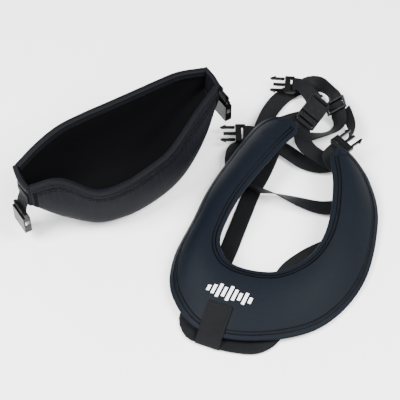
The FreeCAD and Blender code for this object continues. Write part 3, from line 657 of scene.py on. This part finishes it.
def webbing_material(name, low, high):
    """Ribbed webbing: cords across its width and a herringbone of finer threads, by its UV in millimetres; the
    base colour follows their height, darker down in the grooves as painted shade.
    """
    material, node = shader(name, low, 0.55, 0.1)
    where = add(material, "ShaderNodeTexCoord")
    ribs = add(material, "ShaderNodeTexWave", wave_type="BANDS", bands_direction="X", Scale=0.32,
               Distortion=0.4,
               Detail=1.0)
    ribs.inputs["Detail Scale"].default_value = 2.0
    join(material, where.outputs["UV"], ribs.inputs["Vector"])
    yarns = add(material, "ShaderNodeTexWave", wave_type="BANDS", bands_direction="DIAGONAL", Scale=0.36,
                Distortion=0.6)
    join(material, where.outputs["UV"], yarns.inputs["Vector"])
    both = add(material, "ShaderNodeMath", operation="MULTIPLY_ADD")
    both.inputs[1].default_value = 0.35
    join(material, yarns.outputs["Fac"], both.inputs[0])
    join(material, ribs.outputs["Fac"], both.inputs[2])
    # Colour from the weave's height: darker in the grooves between cords and threads, which is painted shade
    blend(material, both.outputs[0], node.inputs["Base Color"], low, high, (0.25, 1.0))
    bump(material, both.outputs[0], node.inputs["Normal"], 0.9, 0.28)
    return material


def plastic_material(name):
    """Moulded black acetal: glossy, with a faint grain and flow marks in its roughness."""
    material, node = shader(name, (0.006, 0.0063, 0.007), 0.34, 0.2)
    where = add(material, "ShaderNodeTexCoord")
    grain = add(material, "ShaderNodeTexNoise", Scale=260.0, Detail=5.0)
    join(material, where.outputs["Object"], grain.inputs["Vector"])
    span = add(material, "ShaderNodeMapRange")
    for key, value in (("From Min", 0.3), ("From Max", 0.7), ("To Min", 0.26), ("To Max", 0.42)):
        span.inputs[key].default_value = value
    join(material, grain.outputs["Fac"], span.inputs["Value"])
    join(material, span.outputs["Result"], node.inputs["Roughness"])
    bump(material, grain.outputs["Fac"], node.inputs["Normal"], 0.12, 0.1)
    mottled(material, node, where.outputs["Object"], 180.0, (0.0015, 0.0016, 0.0019), (0.0030, 0.0031, 0.0036))
    return material


def print_material(name):
    """Screen print: off-white ink that picks up the knit below it."""
    material, node = shader(name, (0.82, 0.83, 0.85), 0.55)
    where = add(material, "ShaderNodeTexCoord")
    mottled(material, node, where.outputs["Object"], 1300.0, (0.7, 0.72, 0.75), (0.9, 0.91, 0.93))
    return material


def small_material(name, color, rough, specular, scale, low, high):
    """A plain material for threads or for the dark discs of painted shade at the needle's holes, a little
    uneven in colour.
    """
    material, node = shader(name, color, rough, specular)
    mottled(material, node, add(material, "ShaderNodeTexCoord").outputs["Object"], scale, low, high)
    return material


YOKE_CLOTH = knit("yoke knit", (0.0016, 0.0026, 0.0046), (0.0034, 0.0051, 0.0086), 0.56, 0.02, (0.35, 0.5, 0.8))
POUCH_CLOTH = knit("pouch knit", (0.0030, 0.0032, 0.0046), (0.0062, 0.0066, 0.0092), 0.66, 0.015,
                   (0.5, 0.55, 0.8))
BINDING_CLOTH = knit("binding knit", (0.0022, 0.0024, 0.0034), (0.0050, 0.0053, 0.0072), 0.6, 0.015,
                     (0.5, 0.55, 0.8))
LINING_CLOTH = knit("lining knit", (0.0007, 0.0007, 0.0010), (0.0016, 0.0016, 0.0021), 0.85, 0.02,
                    (0.5, 0.5, 0.6))
WEBBING = webbing_material("webbing weave", (0.0008, 0.0009, 0.0012), (0.0060, 0.0066, 0.0080))
PLASTIC = plastic_material("buckle plastic")
PRINT = print_material("print ink")
# Near-black discs at the stitch holes: painted shade, standing for the shadow inside the holes
HOLE_SHADE = small_material("needle hole shade", (0.0004, 0.0004, 0.0006), 0.9, 0.0, 700.0,
                      (0.0003, 0.0003, 0.0005), (0.0008, 0.0008, 0.0011))
THREAD = small_material("thread", (0.002, 0.0024, 0.0034), 0.6, 0.15, 600.0,
                        (0.0012, 0.0015, 0.0023), (0.0034, 0.0039, 0.0052))


# ------------------------------------------------------------------ webbing
def webbing(label, samples, width, body="harness"):
    """A strap with rounded edges, woven along its own length, that stands for the node of its name."""
    half = size("webbing_thickness") / 2
    profile = [(-1, -0.35), (-0.975, -0.85), (-0.92, -1), (-0.5, -1), (0, -1), (0.5, -1), (0.92, -1),
               (0.975, -0.85), (1, -0.35), (1, 0.35), (0.975, 0.85), (0.92, 1), (0.5, 1), (0, 1), (-0.5, 1),
               (-0.92, 1), (-0.975, 0.85), (-1, 0.35)]
    points, uvs, run = [], [], 0.0
    for k, (here, side) in enumerate(samples):
        ahead = unit(samples[min(k + 1, len(samples) - 1)][0] - samples[max(k - 1, 0)][0])
        up = unit(ahead.cross(side))
        side = up.cross(ahead)
        if k:
            run += (here - samples[k - 1][0]).length
        for across, rise in profile:
            points.append(here + side * (across * width / 2) + up * (rise * half))
            uvs.append((run, across * width / 2))
    piece = place_mesh(label + "_weave", points, tube_faces(len(samples), len(profile)), body, WEBBING,
                       uvs)
    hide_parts(label)


BOX_STITCH = 2.6                    # length of a stitch and the gap after it
BOX_START, BOX_END = 0.12, 0.88     # where the thread shows in that length
BOX_SUNK, BOX_RISE = 0.2, 0.12      # how deep its ends lie and how far it stands up


def box_stitch(threads, corner, along, across, up, long, wide):
    """A rectangle of stitches with a cross in it."""
    a, b, c, d = corner, corner + along * long, corner + along * long + across * wide, corner + across * wide
    for one, other in ((a, b), (b, c), (c, d), (d, a), (a, c), (b, d)):
        count = max(3, round((other - one).length / BOX_STITCH))
        for k in range(count):
            start = one + (other - one) * ((k + BOX_START) / count)
            end = one + (other - one) * ((k + BOX_END) / count)
            threads.stitch([start - up * BOX_SUNK, start + up * BOX_RISE,
                            end + up * BOX_RISE, end - up * BOX_SUNK], up)


# ------------------------------------------------------------------ collar
COLLAR_RINGS = 300
EDGE = 3.0            # radius of the turned edge
SEAM_IN = 10.0        # from the edge to the stitching
SEAM_RUN = (0.022, 0.978)
SEAM_STITCHES = 560
COVER_SINK = 0.25     # how far the cover lies below the named height of the plies
UNDERSIDE = 0.96      # share of half the height at which the underside lies
NOMINAL_RUN = 1250.0  # millimetres from t = 0 to t = 1, as taken where the tips are rounded
TIP_STATIONS = [0.0006, 0.0016, 0.003, 0.005, 0.0075, 0.011, 0.015, 0.02]
TOP_STEPS, TURN_STEPS, UNDER_STEPS = 60, 8, 24


def collar_width(t):
    """Distance between the collar's edges at t."""
    return (yoke_surface(t, 1) - yoke_surface(t, 0)).length


def collar_skin(t, inset, total):
    """How far the cover stands at a distance from its nearer edge: puckered along the seam."""
    seam = math.exp(-((inset - SEAM_IN) / 1.7) ** 2)
    ridge = math.exp(-((inset - SEAM_IN + 4.6) / 3.0) ** 2)
    wave = noise.noise(Vec(t * 260, inset * 0.05, 1.7))
    gather = 0.28 * ridge * wave
    roll = 0.35 * noise.noise(Vec(t * 14, inset * 0.04, 5.1)) * min(inset / 20, 1)
    return total - 0.05 - 0.75 * seam + gather - COVER_SINK + roll * 0.5


def build_collar():
    """The padded yoke, in one piece: knit cover, turned edges and the underside."""
    total = collar_height()
    middle, under = total / 2, total / 2 * UNDERSIDE
    points, uvs = [], []
    stations = TIP_STATIONS + steps(0.024, 0.976, COLLAR_RINGS) + [1 - t for t in reversed(TIP_STATIONS)]
    for t in stations:
        wide = collar_width(t)
        edge = min(EDGE, wide * 0.3)
        from_tip = min(t, 1 - t) * NOMINAL_RUN
        thin = math.sqrt(max(0.04, 1 - (1 - min(from_tip / EDGE, 1)) ** 2))
        ring = []
        for k in range(TOP_STEPS + 1):
            inset = edge + (wide - 2 * edge) * k / TOP_STEPS
            height = collar_skin(t, min(inset, wide - inset), total) - COVER_SINK
            ring.append((inset / wide, middle + (height - middle) * thin))
        for k in range(1, TURN_STEPS):
            angle = math.pi / 2 - math.pi * k / TURN_STEPS
            ring.append((1 - (edge - edge * math.cos(angle)) / wide, middle + under * math.sin(angle) * thin))
        for k in range(UNDER_STEPS + 1):
            inset = edge + (wide - 2 * edge) * (1 - k / UNDER_STEPS)
            ring.append((inset / wide, middle - under * thin))
        for k in range(1, TURN_STEPS):
            angle = -math.pi / 2 + math.pi * k / TURN_STEPS
            ring.append(((edge - edge * math.cos(angle)) / wide, middle + under * math.sin(angle) * thin))
        for s, height in ring:
            points.append(yoke_point(t, s, height))
            uvs.append((t, s))
    collar = place_mesh("collar", points, tube_faces(len(stations), len(ring)), "harness", YOKE_CLOTH,
                        uvs)
    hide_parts("yoke_cover", "yoke_neck_hem", "yoke_outer_hem", "yoke_core", "yoke_lining")

    threads, holes = Threads(), Threads()

    def seam(t, inset):
        wide = collar_width(t)
        s = inset / wide if inset > 0 else 1 + inset / wide
        height = collar_skin(t, abs(inset), total) - COVER_SINK
        spot = yoke_point(t, s, height)
        return spot, unit(yoke_point(t, s, height + 1) - spot)

    for inset in (SEAM_IN, -SEAM_IN):
        for offset in (-1.3, 1.3):
            threads.row(seam, *SEAM_RUN, SEAM_STITCHES, 2.0, inset + offset)
            holes.holes(seam, *SEAM_RUN, SEAM_STITCHES // 2, inset + offset * 1.9, 1.0)
    for end, direction in zip(SEAM_RUN, (1, -1)):
        wide = collar_width(end)
        path = []
        for k, inset in enumerate(steps(SEAM_IN, wide - SEAM_IN, 26)):
            t = end + direction * (0.0012 if k % 2 else -0.0012)
            spot = yoke_point(t, inset / wide, total - 0.45)
            path.append(spot + UP * 0.1)
        threads.stitch(path)
    mark = [(0.045, 0.42), (0.085, 0.34), (0.09, 0.62), (0.045, 0.42)]    # a sewn triangle by the left tip
    path = []
    for (t0, s0), (t1, s1) in zip(mark, mark[1:]):
        for k in range(12):
            t, s = t0 + (t1 - t0) * k / 12, s0 + (s1 - s0) * k / 12
            path.append(yoke_point(t, s, total - 0.4 + (0.15 if k % 2 else -0.05)))
    threads.stitch(path)
    threads.finish("collar_stitches", "harness", "neoprene_navy")
    holes.finish("collar_needle_hole_shade", "harness", "neoprene_navy", HOLE_SHADE)


# ------------------------------------------------------------------ pouch
POUCH_RINGS = 260
GUSSET_RINGS = 12
GUSSET_STEPS = 96
BINDING_RINGS = 420
STITCHES, HOLES = 250, 84       # along a rim
STITCH_LINES = (4.2, 6.4)       # below the rim, through the binding
GATHER_LINES = ((12.6, -1.7), (15.0, 2.0))    # below the rim, and from there to the needle holes
END_SECTION = 20                # points round the tape over a gusset
END_STEPS = 40


def down_wall(a, rim):
    """From a rim to a tenth of the way round the pouch."""
    return pouch_surface(a, 0.1 if rim == 0 else 0.9) - pouch_surface(a, rim)


def inwards(rim):
    """Which way w runs from a rim."""
    return 1 if rim == 0 else -1


def rim_length(a, rim):
    """How much w one millimetre down from a rim is, at a."""
    return 0.1 / down_wall(a, rim).length


def pucker(a, w):
    """How far the pouch's skin stands off: gathers below the rims and by the ends, and a slow swell."""
    near = 0.0
    for rim in (0, 1):
        depth = abs(w - rim) / rim_length(a, rim)
        near += math.exp(-((depth - 13) / 6.0) ** 2) + 0.45 * math.exp(-((depth - 24) / 10.0) ** 2)
    from_end = (1 - abs(a)) * size("pouch_length") / 2
    along = math.exp(-(from_end / 9) ** 2)
    gather = near * noise.noise(Vec(a * 38, w * 4, 0.4)) * 1.9
    ends = along * noise.noise(Vec(a * 8, w * 46, 3.3)) * 0.8
    slow = 1.5 * noise.noise(Vec(a * 3.4, w * 5.0, 9.2)) * math.sin(math.pi * min(max(w, 0), 1))
    return gather + ends + slow - 0.3


def on_skin(a, w, sunk):
    """A point sunk that far in the pouch's skin, and the way out from it."""
    height = pucker(a, w) - sunk
    spot = pouch_point(a, w, height)
    return spot, unit(pouch_point(a, w, height + 1) - spot)


def pouch_skin(name, low, high, rows, reach, material, nodes, shaped):
    """A closed sheet between two offsets of the pouch's surface."""
    points, uvs, ring = [], [], 2 * (rows + 1)
    cuts = steps(-reach, reach, POUCH_RINGS)
    for a in cuts:
        for w in steps(0.0, 1.0, rows):
            points.append(pouch_point(a, w, high + (pucker(a, w) if shaped else 0)))
            uvs.append((a, w))
        for w in steps(1.0, 0.0, rows):
            points.append(pouch_point(a, w, low + (0.5 * pucker(a, w) if shaped else 0)))
            uvs.append((a, w))
    piece = place_mesh(name, points, tube_faces(len(cuts), ring), "pouch", material, uvs)
    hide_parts(*nodes)


def build_gusset(name, side):
    """The end of the pouch, slightly domed, in one closed piece."""
    rim = [pouch_surface(side, w) for w in steps(0, 1, GUSSET_STEPS)]
    outward = pouch_local(side, 0, 0) - POUCH_CENTRE
    heart = sum(rim, Vec(0, 0)) / len(rim)
    points = []
    for r in range(GUSSET_RINGS + 1):
        share = r / GUSSET_RINGS
        bulge = 0.4 + 3.3 * math.sqrt(max(0.0, 1 - (1 - share) ** 4))
        for k, spot in enumerate(rim):
            inward = spot + (heart - spot) * (share * 0.94)
            wave = 0.35 * noise.noise(Vec(k * 0.31, share * 3, side * 2.0)) * (1 - share)
            points.append(inward + outward * (bulge + wave))
    count = len(rim)
    faces = tube_faces(GUSSET_RINGS + 1, count, caps=False)
    faces.append(tuple(range(GUSSET_RINGS * count, (GUSSET_RINGS + 1) * count)))
    base = len(points)
    points += [spot - outward * 1.2 for spot in rim]
    faces.append(tuple(reversed(range(base, base + count))))
    piece = place_mesh("gusset_" + name, points, faces, "pouch", POUCH_CLOTH)
    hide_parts("pouch_end_" + name)


def bound_edge(a, rim, depth, across):
    """A point of the rim binding: depth below the rim, across from the outer face."""
    foot = rim + inwards(rim) * rim_length(a, rim) * max(depth, 0)
    down = unit(down_wall(a, rim))
    return pouch_point(a, foot, across) + down * min(depth, 0)


def build_binding(name, rim):
    """The folded tape over a rim, gathered by its own stitches."""
    gap, tape = size("seam_gap"), size("binding_thickness")
    wall = size("panel_thickness") + size("lining_gap") + size("pouch_lining") + 2 * gap
    drop = size("binding_drop")
    out, into, centre = gap + tape, -wall - tape, (gap - wall) / 2
    half = (out - into) / 2

    def groove(depth, gather):
        return 0.5 * math.exp(-((depth - 5.2) / 1.1) ** 2) - 0.28 * gather * math.sin(math.pi * depth / drop)

    points, uvs = [], []
    cuts = steps(-0.994, 0.994, BINDING_RINGS)
    for a in cuts:
        gather = noise.noise(Vec(a * 60, rim * 7.0, 0.9))
        swell = noise.noise(Vec(a * 25, rim * 3.0, 4.4))
        reach = drop + 0.5 * gather
        profile = []
        for k in range(10):
            depth = reach * (1 - k / 10)
            profile.append((depth, out - groove(depth, gather) - 0.1))
        for k in range(9):
            angle = math.pi * k / 8
            profile.append((-(gap + tape) * math.sin(angle) * (1 + 0.12 * swell),
                            centre + half * math.cos(angle)))
        for k in range(1, 11):
            depth = reach * k / 10
            profile.append((depth, into + groove(depth, gather) + 0.1))
        profile += [(reach, -wall), (0.2, -wall), (-gap, centre), (0.2, gap), (reach, gap)]
        for depth, across in profile:
            points.append(bound_edge(a, rim, depth, across))
            uvs.append((a, depth))
    piece = place_mesh("binding_" + name, points, tube_faces(len(cuts), len(profile)), "pouch",
                       BINDING_CLOTH, uvs)
    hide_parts("rim_binding_" + name)

    threads, holes = Threads(), Threads()

    def outer(a, depth):
        spot = bound_edge(a, rim, depth, out - 0.3)
        return spot, unit(bound_edge(a, rim, depth, out + 1) - spot)

    def inner(a, depth):
        spot = bound_edge(a, rim, depth, into + 0.3)
        return spot, unit(bound_edge(a, rim, depth, into - 1) - spot)

    def below(a, depth):
        return on_skin(a, rim + inwards(rim) * rim_length(a, rim) * depth, 0.1)

    for face in (outer, inner):
        for depth in STITCH_LINES:
            threads.row(face, -0.985, 0.985, STITCHES, 1.7, depth)
        holes.holes(face, -0.985, 0.985, HOLES, 7.6, 0.6)
    for depth, to_holes in GATHER_LINES:
        threads.row(below, -0.975, 0.975, STITCHES, 1.8, depth)
        holes.holes(below, -0.975, 0.975, HOLES, depth + to_holes, 1.0)
    threads.finish("binding_stitches_" + name, "pouch", "binding")
    holes.finish("binding_needle_hole_shade_" + name, "pouch", "binding", HOLE_SHADE)


def build_end_binding(name, side):
    """The same tape carried over the top of a gusset, so that the rim runs all round the mouth."""
    front, back = pouch_surface(side, 0), pouch_surface(side, 1)
    outward = pouch_local(side, 0, 0) - POUCH_CENTRE
    points, uvs = [], []
    for k in range(END_STEPS + 1):
        share = k / END_STEPS
        spot = front + (back - front) * share
        spot = spot + outward * (1.0 + 2.6 * math.sin(math.pi * share)) - UP * (1.5 * math.sin(math.pi * share))
        gather = 0.3 * noise.noise(Vec(k * 0.5, side * 3.0, 2.2))
        for j in range(END_SECTION):
            angle = 2 * math.pi * j / END_SECTION
            lift = math.sin(angle)
            rise = 1.5 * lift if lift > 0 else 9.5 * lift
            across = 3.7 * (abs(math.cos(angle)) ** 0.55) * (1 if math.cos(angle) >= 0 else -1) + gather
            points.append(spot + outward * across + UP * rise)
            uvs.append((share, j / END_SECTION))
    place_mesh("binding_end_" + name, points, tube_faces(END_STEPS + 1, END_SECTION), "pouch",
               BINDING_CLOTH, uvs)


def build_pouch():
    """Shell, lining, ends and bound rims of the pouch, with its seams."""
    thick = size("panel_thickness")
    inside = thick + size("lining_gap")
    pouch_skin("pouch_shell", -thick, -0.15, 90, 1.0, POUCH_CLOTH,
               ("pouch_front", "pouch_base", "pouch_back"), True)
    pouch_skin("pouch_inner", -inside - size("pouch_lining"), -inside, 60, 0.985, LINING_CLOTH,
               ("lining_front", "lining_base", "lining_back"), False)
    build_gusset("left", -1)
    build_gusset("right", 1)
    build_end_binding("left", -1)
    build_end_binding("right", 1)
    build_binding("front", 0)
    build_binding("back", 1)
    threads = Threads()

    def by_end(side):
        return lambda w, inset: on_skin(side * (1 - inset / (size("pouch_length") / 2)), w, 0.15)

    for side in (-1, 1):
        for inset in (4.0, 6.4):
            threads.row(by_end(side), 0.06, 0.94, 190, 1.8, inset)
    threads.finish("end_stitches", "pouch", "neoprene_charcoal")


# ------------------------------------------------------------------ put together
PATCH_THREAD = 0.3
PATCH_BOXES = ((6, 16), (18, 36))       # in from the outer edge


def stitch_patch():
    """The boxes of stitches that hold the loop patch on the collar."""
    threads = Threads(PATCH_THREAD)
    edge, out, along = patch_frame()
    raised = collar_height() + size("ply_gap") + size("webbing_thickness") + 0.05
    half = size("patch_width") / 2 - 4
    for near, far in PATCH_BOXES:
        a = on_yoke(*(edge - out * near - along * half).xy, raised)
        b = on_yoke(*(edge - out * far - along * half).xy, raised)
        c = on_yoke(*(edge - out * near + along * half).xy, raised)
        inward, across = b - a, c - a
        normal = unit(inward.cross(across))
        if normal.z < 0:
            normal = normal * -1
        box_stitch(threads, a + normal * 0.15, unit(inward), unit(across), normal, inward.length, across.length)
    threads.finish("patch_stitches", "harness", "webbing_black")


def dress(node, material):
    """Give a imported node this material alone."""
    node.data.materials.clear()
    node.data.materials.append(material)


build_collar()
build_patch()
build_straps()
build_sockets()
build_pouch()
stitch_patch()

for name, node in frame["nodes"].items():
    if node.hide_render or name.endswith(("_strap", "_tab")):
        continue
    if name.endswith(("_plate", "_arm_left", "_arm_right", "_socket", "_adjuster")):
        dress(node, PLASTIC)
    elif name == "yoke_print":
        dress(node, PRINT)


# ------------------------------------------------------------------ stage, light and camera
CAMERA_DISTANCE = 1.75
CAMERA_HEIGHT = math.radians(52)
CAMERA_LENS = 108.7
LOOK_AT = FRAME_SHIFT * MM
LAMP_AIM = Vector((0, 0, 0.05))
FLOOR_WIDE, FLOOR_DROP = 12, 0.0005     # metres; just below the object
SKY = 0.5


def lamp(name, spot, power, wide):
    """A soft square lamp that faces the object."""
    data = bpy.data.lights.new(name, "AREA")
    data.energy, data.size = power, wide
    lamp_object = bpy.data.objects.new(name, data)
    lamp_object.location = spot
    lamp_object.rotation_euler = (LAMP_AIM - Vector(spot)).to_track_quat("-Z", "Y").to_euler()
    bpy.context.scene.collection.objects.link(lamp_object)


bpy.ops.mesh.primitive_plane_add(size=FLOOR_WIDE, location=(0, 0, -FLOOR_DROP))
floor = bpy.context.object
floor.name = "floor"
paper = shader("paper", (0.97, 0.97, 0.97), 0.9)[0]
floor.data.materials.append(paper)

world = bpy.data.worlds.new("studio")
world.use_nodes = True
world.node_tree.nodes["Background"].inputs["Color"].default_value = (1, 1, 1, 1)
world.node_tree.nodes["Background"].inputs["Strength"].default_value = SKY
bpy.context.scene.world = world
lamp("left key", (-1.3, -0.5, 2.0), 135, 1.0)
lamp("right fill", (1.4, -0.4, 1.8), 104, 1.2)
lamp("front fill", (0.0, -1.6, 1.9), 60, 1.4)
lamp("rim light", (-1.1, 1.6, 0.9), 10, 0.4)

camera_data = bpy.data.cameras.new("camera")
camera_data.lens = CAMERA_LENS
camera = bpy.data.objects.new("camera", camera_data)
camera.location = LOOK_AT + CAMERA_DISTANCE * Vector((0, -math.cos(CAMERA_HEIGHT), math.sin(CAMERA_HEIGHT)))
camera.rotation_euler = (LOOK_AT - camera.location).to_track_quat("-Z", "Y").to_euler()
bpy.context.scene.collection.objects.link(camera)
bpy.context.scene.camera = camera
